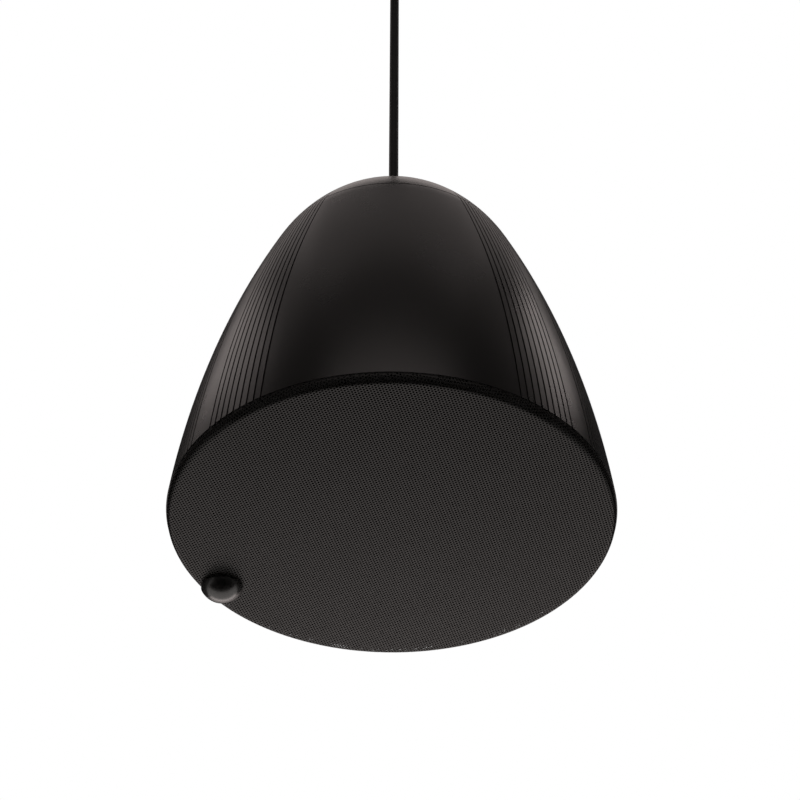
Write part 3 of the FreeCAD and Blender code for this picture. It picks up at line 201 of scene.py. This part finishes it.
# Materials
class Finish:
    """A procedural finish: its colour and gloss vary a little, and a fine grain stands in relief."""

    def __init__(self, name, colour, roughness, metallic=0.0, specular=0.5):
        self.name = name
        self.material = bpy.data.materials.new(name)
        self.material.use_nodes = True
        self.nodes = self.material.node_tree.nodes
        self.links = self.material.node_tree.links
        self.shader = self.nodes["Principled BSDF"]
        self.shader.inputs["Metallic"].default_value = metallic
        self.shader.inputs["Specular IOR Level"].default_value = specular
        self.place = self.nodes.new("ShaderNodeTexCoord")
        self.height = None
        self.colour = colour
        self.roughness = roughness

    def noise(self, scale, detail=2, stretch=(1, 1, 1)):
        """A noise in the object's own metres, finer where the scale is larger."""
        mapping = self.nodes.new("ShaderNodeMapping")
        mapping.inputs["Scale"].default_value = stretch
        noise = self.nodes.new("ShaderNodeTexNoise")
        noise.inputs["Scale"].default_value = scale
        noise.inputs["Detail"].default_value = detail
        self.links.new(self.place.outputs["Object"], mapping.inputs["Vector"])
        self.links.new(mapping.outputs["Vector"], noise.inputs["Vector"])
        return noise.outputs["Fac"]

    def waves(self, scale, direction, distortion=0.4):
        """Fine, nearly even lines across one direction, as in windings and laminations."""
        wave = self.nodes.new("ShaderNodeTexWave")
        wave.bands_direction = direction
        wave.inputs["Scale"].default_value = scale
        wave.inputs["Distortion"].default_value = distortion
        self.links.new(self.place.outputs["Object"], wave.inputs["Vector"])
        return wave.outputs["Fac"]

    def mixed(self, source, low, high):
        """Base colour that runs from one colour to another with a source between 0 and 1."""
        mix = self.nodes.new("ShaderNodeMix")
        mix.data_type = "RGBA"
        mix.inputs["A"].default_value = (*low, 1)
        mix.inputs["B"].default_value = (*high, 1)
        self.links.new(source, mix.inputs["Factor"])
        self.links.new(mix.outputs["Result"], self.shader.inputs["Base Color"])

    def vary(self, source, shade, gloss):
        """Let a pattern darken the colour by up to a share, and spread the roughness both ways."""
        self.mixed(source, self.colour, tuple(part * (1 - shade) for part in self.colour))
        rough = self.nodes.new("ShaderNodeMapRange")
        rough.inputs["To Min"].default_value = self.roughness - gloss
        rough.inputs["To Max"].default_value = self.roughness + gloss
        self.links.new(source, rough.inputs["Value"])
        self.links.new(rough.outputs["Result"], self.shader.inputs["Roughness"])
        return self

    def relief(self, source, depth):
        """Raise the pattern by a depth, on top of any relief before it."""
        bump = self.nodes.new("ShaderNodeBump")
        bump.inputs["Distance"].default_value = depth
        bump.inputs["Strength"].default_value = 1
        self.links.new(source, bump.inputs["Height"])
        if self.height is not None:
            self.links.new(self.height, bump.inputs["Normal"])
        self.height = bump.outputs["Normal"]
        self.links.new(self.height, self.shader.inputs["Normal"])
        return self


def moulded(name, colour, roughness, grain=0.00002, specular=0.5):
    """Moulded plastic or paint with a fine even grain and faint cloudiness."""
    finish = Finish(name, colour, roughness, specular=specular)
    finish.vary(finish.noise(scale=18, detail=3), shade=0.12, gloss=0.03)
    return finish.relief(finish.noise(scale=2500), depth=grain)


def metal(name, colour, roughness, stretch=(1, 1, 1)):
    """Bare or plated metal with a faint grain, long in one direction where it is brushed."""
    finish = Finish(name, colour, roughness, metallic=1.0)
    finish.vary(finish.noise(scale=400, detail=4, stretch=stretch), shade=0.18, gloss=0.06)
    return finish.relief(finish.noise(scale=1800, stretch=stretch), depth=0.00001)


def rubbery(name, colour, roughness=0.6):
    """Rubber or soft insulation: matt, a little uneven."""
    finish = Finish(name, colour, roughness, specular=0.3)
    finish.vary(finish.noise(scale=60, detail=3), shade=0.2, gloss=0.05)
    return finish.relief(finish.noise(scale=3500, detail=3), depth=0.00003)


def fibrous(name, colour, scale, depth, sheen=0.3):
    """Cloth, foam or wadding: coarse enough to see the threads or cells."""
    finish = Finish(name, colour, roughness=0.95, specular=0.1)
    finish.shader.inputs["Sheen Weight"].default_value = sheen
    finish.vary(finish.noise(scale, detail=4), shade=0.45, gloss=0.04)
    return finish.relief(finish.noise(scale * 2, detail=4), depth)


def lined(name, colour, roughness, metallic, scale, direction, depth):
    """Turns of wire or stacked sheets, seen as fine parallel lines."""
    finish = Finish(name, colour, roughness, metallic)
    finish.vary(finish.waves(scale, direction), shade=0.5, gloss=0.08)
    return finish.relief(finish.waves(scale, direction), depth)


# The plated screws and magnets are coloured black as painted shade, so that they don't glint through the
# grille.
FINISHES = {finish.name: finish.material for finish in (
    moulded("bell_plastic", (0.0036, 0.0031, 0.003), roughness=0.28),
    moulded("grille_steel", (0.0075, 0.0065, 0.0062), roughness=0.4, specular=0.3),
    moulded("badge_plastic", (0.006, 0.0053, 0.005), roughness=0.28, specular=1),
    rubbery("cable_rubber", (0.003, 0.003, 0.003), roughness=0.5),
    fibrous("foam", (0.001, 0.001, 0.001), scale=900, depth=0.0004, sheen=0),
    fibrous("wadding", (0.75, 0.74, 0.7), scale=250, depth=0.002),
    moulded("black_steel", (0.01, 0.0095, 0.0093), roughness=0.38),
    metal("zinc_steel", (0.012, 0.012, 0.012), roughness=0.4, stretch=(1, 1, 0.2)),
    moulded("black_nylon", (0.008, 0.008, 0.0082), roughness=0.45, grain=0.00003),
    rubbery("soft_seal", (0.012, 0.012, 0.012)),
    metal("magnet_nickel", (0.012, 0.012, 0.012), roughness=0.4),
    moulded("ferrite", (0.06, 0.06, 0.065), roughness=0.7, grain=0.00008),
    moulded("cone_plastic", (0.03, 0.03, 0.032), roughness=0.55, grain=0.00006),
    metal("former_aluminium", (0.7, 0.7, 0.7), roughness=0.3, stretch=(1, 1, 0.1)),
    lined("copper_wire", (0.6, 0.28, 0.14), roughness=0.3, metallic=1.0,
          scale=600, direction="Z", depth=0.0002),
    fibrous("spider_cloth", (0.6, 0.45, 0.2), scale=1500, depth=0.0002),
    fibrous("silk", (0.03, 0.03, 0.03), scale=2500, depth=0.00005),
    moulded("board_green", (0.03, 0.16, 0.07), roughness=0.3, grain=0.00001),
    moulded("capacitor_film", (0.5, 0.28, 0.03), roughness=0.2, grain=0.00001),
    moulded("resistor_ceramic", (0.75, 0.73, 0.68), roughness=0.8, grain=0.0001),
    lined("lamination", (0.2, 0.19, 0.18), roughness=0.5, metallic=0.6,
          scale=320, direction="Y", depth=0.0001),
    moulded("terminal_plastic", (0.02, 0.2, 0.07), roughness=0.45),
    rubbery("wire_insulation", (0.35, 0.02, 0.02), roughness=0.45),
)}


def shown(name, verts, faces, nodes, slot):
    """Make a mesh in place of CAD nodes, riding on the hung body."""
    mesh = bpy.data.meshes.new(name)
    mesh.from_pydata(verts, [], faces)
    mesh.validate()
    mesh.shade_smooth()
    mesh.set_sharp_from_angle(angle=SMOOTH_ANGLE)
    mesh.materials.append(FINISHES[slot])
    thing = bpy.data.objects.new(name, mesh)
    bpy.context.collection.objects.link(thing)
    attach(thing, ROOT)
    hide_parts(*nodes)
    return thing


# Three tangent arcs: side, shoulder and crown. Each has an axis in the bell's section.
SIDE_AXIS_R = RIM_R - SIDE_ARC_R * math.cos(RIM_LEAN)
SIDE_AXIS_H = RIM_H - SIDE_ARC_R * math.sin(RIM_LEAN)
SIDE_LEAN = math.asin((SIDE_TOP_H - SIDE_AXIS_H) / SIDE_ARC_R)
SHOULDER_AXIS_R = SIDE_AXIS_R + (SIDE_ARC_R - SHOULDER_ARC_R) * math.cos(SIDE_LEAN)
SHOULDER_AXIS_H = SIDE_TOP_H - SHOULDER_ARC_R * math.sin(SIDE_LEAN)
CROWN_ARC_R = SHOULDER_AXIS_R / math.cos(SHOULDER_LEAN) + SHOULDER_ARC_R
CROWN_AXIS_H = SHOULDER_AXIS_H + (SHOULDER_ARC_R - CROWN_ARC_R) * math.sin(SHOULDER_LEAN)


def bell_point(lean, inset=0.0):
    """(radius, height) of the bell where its surface leans back by an angle."""
    if lean <= SIDE_LEAN:
        axis_r, axis_h, arc_r = SIDE_AXIS_R, SIDE_AXIS_H, SIDE_ARC_R
    elif lean <= SHOULDER_LEAN:
        axis_r, axis_h, arc_r = SHOULDER_AXIS_R, SHOULDER_AXIS_H, SHOULDER_ARC_R
    else:
        axis_r, axis_h, arc_r = 0.0, CROWN_AXIS_H, CROWN_ARC_R
    return axis_r + (arc_r - inset) * math.cos(lean), axis_h + (arc_r - inset) * math.sin(lean)


def lean_at_height(height, inset=0.0):
    """The lean where the wall reaches a height, below the crown."""
    lean = math.asin((height - SIDE_AXIS_H) / (SIDE_ARC_R - inset))
    if lean > SIDE_LEAN:
        lean = math.asin((height - SHOULDER_AXIS_H) / (SHOULDER_ARC_R - inset))
    return lean


def leans_between(low, high):
    """Leans along the outline, about one step of its length apart."""
    leans = [low]
    while leans[-1] < high:
        arc = SIDE_ARC_R if leans[-1] < SIDE_LEAN else SHOULDER_ARC_R
        leans.append(min(leans[-1] + ROW_STEP / arc, high))
    return leans


def inner_wall(heights):
    """Points of the bell's inner face at some heights."""
    return [bell_point(lean_at_height(height, WALL), WALL) for height in heights]


def flute_columns():
    """(azimuth, share of the flute's depth) all round. Azimuth 0 is the near side."""
    centres = []
    for start in FLUTE_STARTS:
        for index in range(FLUTE_COUNT):
            angle = start + index * FLUTE_PITCH
            centres += [angle, -angle, math.pi - angle, math.pi + angle]
    centres = sorted(angle % FULL_TURN for angle in centres)
    half = FLUTE_WIDTH / 2
    columns = []
    for index, centre in enumerate(centres):
        columns += [(centre - half, 0), (centre - half + FLUTE_WALL, 1),
                    (centre + half - FLUTE_WALL, 1), (centre + half, 0)]
        following = centres[(index + 1) % len(centres)]
        if following < centre:
            following += FULL_TURN
        span = following - centre - FLUTE_WIDTH
        steps = max(1, round(span / PLAIN_STEP))
        columns += [(centre + half + span * step / steps, 0) for step in range(1, steps)]
    return columns


COLUMNS = flute_columns()


def turned(rows, columns):
    """Vertices and faces of a closed outline turned all round.

    A row is (radius, height, inward, down, depth): a flute moves it by its depth along (inward, down)."""
    verts = []
    for azimuth, share in columns:
        for radius, height, inward, down, depth in rows:
            r = radius - inward * depth * share
            h = height - down * depth * share
            verts.append((r * math.sin(azimuth), -r * math.cos(azimuth), FACE_Z + h))
    count = len(rows)
    faces = []
    for column in range(len(columns)):
        following = (column + 1) % len(columns)
        for row in range(count):
            above = (row + 1) % count
            faces.append((column * count + row, following * count + row,
                          following * count + above, column * count + above))
    return verts, faces


def fluted_rows(leans, depth_at):
    """Rows of the outer face, with the flutes' depth as a function of the radius."""
    rows = []
    for lean in leans:
        radius, height = bell_point(lean)
        rows.append((radius, height, math.cos(lean), math.sin(lean), depth_at(radius)))
    return rows


def plain_rows(points):
    """Rows that no flute moves."""
    return [(radius, height, 0, 0, 0) for radius, height in points]


def weld(thing):
    """Join the points that fall together on the axis."""
    work = bmesh.new()
    work.from_mesh(thing.data)
    bmesh.ops.remove_doubles(work, verts=work.verts, dist=MERGE_DISTANCE)
    work.to_mesh(thing.data)
    work.free()


def enclosure():
    """The bell below the seam, with the deck under the cap and the ledge that the baffle sits on."""
    rim_lean = lean_at_height(RIM_H)
    seam_lean = lean_at_height(SEAM_H)
    rows = fluted_rows(leans_between(rim_lean, seam_lean), lambda radius: FLUTE_DEPTH)
    deck_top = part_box("terminal_header")[0].z - FACE_Z
    deck_low = deck_top - WALL
    ledge_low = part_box("baffle_gasket")[1].z - FACE_Z
    ledge_high = ledge_low + WALL
    ledge_in = RIM_R - WALL - LEDGE_WIDTH
    inside = inner_wall((SEAM_H, deck_top)) + [(0, deck_top), (0, deck_low)]
    inside += inner_wall(np.linspace(deck_low, ledge_high, BELL_INSIDE_ROWS))
    inside += [(ledge_in, ledge_high), (ledge_in, ledge_low)]
    inside += inner_wall((ledge_low, RIM_H))
    verts, faces = turned(rows + plain_rows(inside), COLUMNS)
    weld(shown("enclosure_shell", verts, faces, ["enclosure"], "bell_plastic"))


def cap():
    """The domed cap above the seam, with the collar that the gland goes through."""
    cap_lean = lean_at_height(SEAM_H + SEAM_GAP)
    collar_lean = math.acos(COLLAR_R / CROWN_ARC_R)

    def depth_at(radius):
        return FLUTE_DEPTH * min(1, max(0, (radius - FLUTE_END_R) / FLUTE_FADE))

    rows = fluted_rows(leans_between(cap_lean, collar_lean), depth_at)
    collar_h = COLLAR_Z - FACE_Z
    inside = [(COLLAR_R, collar_h), (CAP_BORE_R, collar_h)]
    bore_lean = math.acos(CAP_BORE_R / (CROWN_ARC_R - CAP_WALL))
    inside += [bell_point(lean, CAP_WALL) for lean in np.linspace(bore_lean, cap_lean, CAP_INSIDE_ROWS)]
    verts, faces = turned(rows + plain_rows(inside), COLUMNS)
    shown("cap_shell", verts, faces, ["top_cap"], "bell_plastic")


def grille():
    """Perforated sheet: a triangular lattice of holes that runs on round the folded edge."""
    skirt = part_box("grille")[1].z - FACE_Z - FOLD_R
    bend_end = FLAT_R + FOLD_R * math.pi / 2
    limit = bend_end + skirt
    reach = int(limit / HOLE_PITCH) * 2
    corner_r = HOLE_PITCH / math.sqrt(3)
    first = np.array((math.cos(HOLE_TURN), math.sin(HOLE_TURN))) * HOLE_PITCH
    second = np.array((math.cos(HOLE_TURN + math.pi / 3), math.sin(HOLE_TURN + math.pi / 3))) * HOLE_PITCH
    steps = np.arange(-reach, reach + 1)
    grid = (steps[:, None, None] * first + steps[None, :, None] * second).reshape(-1, 2)
    centres = grid[np.hypot(*grid.T) < limit + corner_r]
    angles = HOLE_TURN + math.pi / 6 + np.arange(HOLE_SIDES) * math.pi / 3
    ring = np.stack((np.cos(angles), np.sin(angles)), 1)

    def pressed(flat, lift):
        """Move points of the flat sheet to where pressing the edge takes them."""
        distance = np.hypot(flat[:, 0], flat[:, 1])
        kept = np.minimum(distance, limit)
        turn = np.clip((kept - FLAT_R) / FOLD_R, 0, math.pi / 2)
        radius = np.minimum(kept, FLAT_R) + (FOLD_R - lift) * np.sin(turn)
        height = FOLD_R - (FOLD_R - lift) * np.cos(turn) + np.maximum(kept - bend_end, 0)
        scale = radius / np.maximum(distance, NO_DISTANCE)
        return np.column_stack((flat[:, 0] * scale, flat[:, 1] * scale, FACE_Z + height))

    sector = ((np.arctan2(centres[:, 1], centres[:, 0]) + math.pi) / FULL_TURN * GRILLE_PARTS).astype(int)
    for part in range(GRILLE_PARTS):
        cells = centres[sector == part]
        corners = (cells[:, None, :] + ring * corner_r).reshape(-1, 2)
        holes = (cells[:, None, :] + ring * HOLE_R).reshape(-1, 2)
        verts = np.concatenate((pressed(corners, 0), pressed(holes, 0), pressed(holes, SHEET)))
        base = np.arange(len(cells))[:, None] * HOLE_SIDES
        here = base + np.arange(HOLE_SIDES)
        after = base + (np.arange(HOLE_SIDES) + 1) % HOLE_SIDES
        rim = len(corners)
        back = rim + len(holes)
        front = np.stack((here + rim, after + rim, after, here), 2)
        wall = np.stack((here + back, after + back, after + rim, here + rim), 2)
        open_hole = np.hypot(*cells.T) < limit - HOLE_R
        closed = here[~open_hole][:, ::-1] + rim
        faces = front.reshape(-1, 4).tolist() + wall[open_hole].reshape(-1, 4).tolist() + closed.tolist()
        shown(f"grille_sheet_{part + 1}", verts.tolist(), faces, ["grille"], "grille_steel")


enclosure()
cap()
grille()
CABLE.data.materials.append(FINISHES["cable_rubber"])
for subpart in frame["record"]["subparts"]:
    slots = frame["nodes"][subpart["node"]].data.materials
    slots.clear()
    slots.append(FINISHES[subpart["material_slot"]])


def world():
    """White for the camera, a bright room for soft shading, and a dim room in what shines.

    The dim room keeps the black bell's reflections to the panels, as in the photograph."""
    thing = bpy.data.worlds.new("studio")
    bpy.context.scene.world = thing
    thing.use_nodes = True
    nodes = thing.node_tree.nodes
    links = thing.node_tree.links
    nodes.clear()
    tones = {"seen": (WHITE, 1), "soft": (ROOM_TINT, SOFT_ROOM), "shine": (ROOM_TINT, DIM_ROOM)}
    skies = {}
    for name, (colour, strength) in tones.items():
        skies[name] = nodes.new("ShaderNodeBackground")
        skies[name].inputs["Color"].default_value = (*colour, 1)
        skies[name].inputs["Strength"].default_value = strength
    rays = nodes.new("ShaderNodeLightPath")
    unseen = nodes.new("ShaderNodeMixShader")
    whole = nodes.new("ShaderNodeMixShader")
    out = nodes.new("ShaderNodeOutputWorld")
    links.new(rays.outputs["Is Diffuse Ray"], unseen.inputs[0])
    links.new(skies["shine"].outputs[0], unseen.inputs[1])
    links.new(skies["soft"].outputs[0], unseen.inputs[2])
    links.new(rays.outputs["Is Camera Ray"], whole.inputs[0])
    links.new(unseen.outputs[0], whole.inputs[1])
    links.new(skies["seen"].outputs[0], whole.inputs[2])
    links.new(whole.outputs[0], out.inputs[0])


def panel(name, azimuth, elevation, wide, tall, radiance):
    """A soft light that faces the bell and is hidden from the camera."""
    around = math.radians(azimuth)
    up = math.radians(elevation)
    towards = Vector((math.sin(around) * math.cos(up), -math.cos(around) * math.cos(up), math.sin(up)))
    data = bpy.data.lights.new(name, "AREA")
    data.shape = "RECTANGLE"
    data.size = 2 * PANEL_DISTANCE * math.tan(math.radians(wide / 2))
    data.size_y = 2 * PANEL_DISTANCE * math.tan(math.radians(tall / 2))
    data.energy = radiance * math.pi * data.size * data.size_y
    data.color = PANEL_TINT
    thing = bpy.data.objects.new(name, data)
    thing.location = PANEL_TARGET + towards * PANEL_DISTANCE
    thing.rotation_mode = "QUATERNION"
    thing.rotation_quaternion = towards.to_track_quat("Z", "Y")
    thing.visible_camera = False
    bpy.context.collection.objects.link(thing)


def card(name, half, near, far, drop, material):
    """A level card of the studio, at a drop below the grille's face."""
    level = FACE_Z - drop
    mesh = bpy.data.meshes.new(name)
    mesh.from_pydata([(-half, near, level), (half, near, level), (half, far, level), (-half, far, level)],
                     [], [(0, 1, 2, 3)])
    mesh.materials.append(material)
    thing = bpy.data.objects.new(name, mesh)
    bpy.context.collection.objects.link(thing)
    return thing


def flag():
    """A black card below the near side that keeps the floor's shine off the grille's folded edge."""
    finish = moulded("flag", (0.001, 0.001, 0.001), roughness=0.9, specular=0.0)
    thing = card("flag", FLAG_HALF, FLAG_NEAR, FLAG_FAR, FLAG_DROP, finish.material)
    thing.visible_camera = False
    thing.visible_shadow = False


def floor():
    """A pale floor, which the camera sees as white where no shadow falls."""
    finish = Finish("floor", (0.75, 0.74, 0.73), roughness=0.9)
    rays = finish.nodes.new("ShaderNodeLightPath")
    finish.mixed(rays.outputs["Is Camera Ray"], finish.colour, WHITE)
    finish.shader.inputs["Roughness"].default_value = finish.roughness
    card("floor", FLOOR_HALF, -FLOOR_HALF, FLOOR_HALF, FLOOR_DROP, finish.material)


world()
for name, settings in PANELS.items():
    panel(name, *settings)
flag()
floor()

view = bpy.context.scene.view_settings
view.view_transform = "Standard"
view.look = "None"
